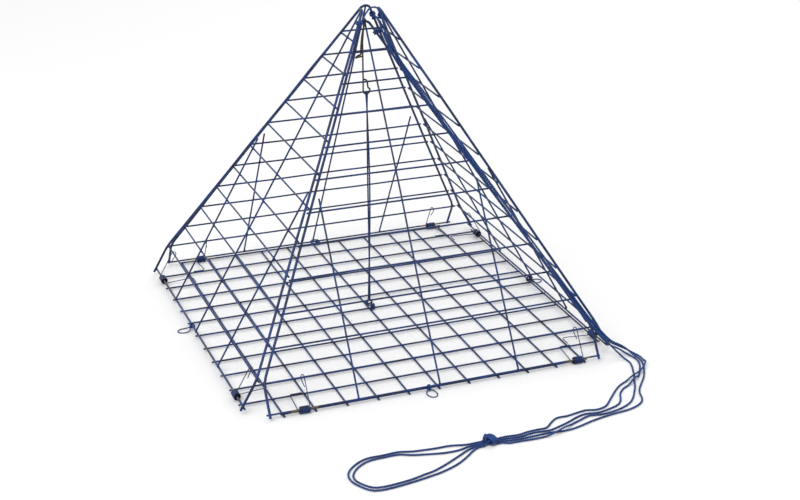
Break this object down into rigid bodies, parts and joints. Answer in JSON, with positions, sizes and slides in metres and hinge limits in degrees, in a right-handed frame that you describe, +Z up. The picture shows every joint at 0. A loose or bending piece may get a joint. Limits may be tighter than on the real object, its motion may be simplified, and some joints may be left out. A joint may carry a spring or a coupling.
{
  "type": "star crab trap",
  "caption": "Folding star-shaped crab trap: square welded-wire base with triangular mesh points on springs, closed to a pyramid, with a closing hook and a cord harness.",
  "frame": {"origin": "centre of the square base, on the surface that the trap stands on", "axes": "+Z up, +X to the right along the front edge, +Y to the back; the harness knot and handle lie in front"},
  "size_m": [0.3405, 0.4447, 0.269],
  "materials": {
    "coated_wire": "dark blue plastic coating, semi-gloss",
    "hook_wire": "dark drawn wire",
    "cord": "braided blue cord"
  },
  "bodies": {
    "base": {"base_grid": "coated_wire", "front_left_spring": "coated_wire", "front_right_spring": "coated_wire", "right_front_spring": "coated_wire", "right_back_spring": "coated_wire", "back_right_spring": "coated_wire", "back_left_spring": "coated_wire", "left_back_spring": "coated_wire", "left_front_spring": "coated_wire", "front_tie": "cord", "right_tie": "cord", "back_tie": "cord", "left_tie": "cord", "closure_cord": "cord", "closure_knot": "cord", "front_strand": "cord", "right_strand": "cord", "back_strand": "cord", "left_strand": "cord", "harness_knot": "cord", "outer_handle_loop": "cord", "inner_handle_loop": "cord"},
    "front_point": {"front_panel": "coated_wire", "front_apex_knot": "cord", "closure_hook": "hook_wire"},
    "right_point": {"right_panel": "coated_wire", "right_apex_knot": "cord"},
    "back_point": {"back_panel": "coated_wire", "back_apex_knot": "cord"},
    "left_point": {"left_panel": "coated_wire", "left_apex_knot": "cord"}
  },
  "joints": [
    {"name": "front_hinge", "type": "hinge", "parent": "base", "child": "front_point", "pos_m": [0, -0.1536, 0.00384], "axis": [1, 0, 0], "range_deg": [0, 119], "deforming": ["front_left_spring", "front_right_spring", "closure_cord", "front_strand"]},
    {"name": "right_hinge", "type": "hinge", "parent": "base", "child": "right_point", "pos_m": [0.1536, 0, 0.00507], "axis": [0, 1, 0], "range_deg": [0, 119.6], "deforming": ["right_front_spring", "right_back_spring", "right_strand"]},
    {"name": "back_hinge", "type": "hinge", "parent": "base", "child": "back_point", "pos_m": [0, 0.1536, 0.00384], "axis": [-1, 0, 0], "range_deg": [0, 119], "deforming": ["back_right_spring", "back_left_spring", "back_strand"]},
    {"name": "left_hinge", "type": "hinge", "parent": "base", "child": "left_point", "pos_m": [-0.1536, 0, 0.00507], "axis": [0, -1, 0], "range_deg": [0, 119.6], "deforming": ["left_back_spring", "left_front_spring", "left_strand"]}
  ]
}
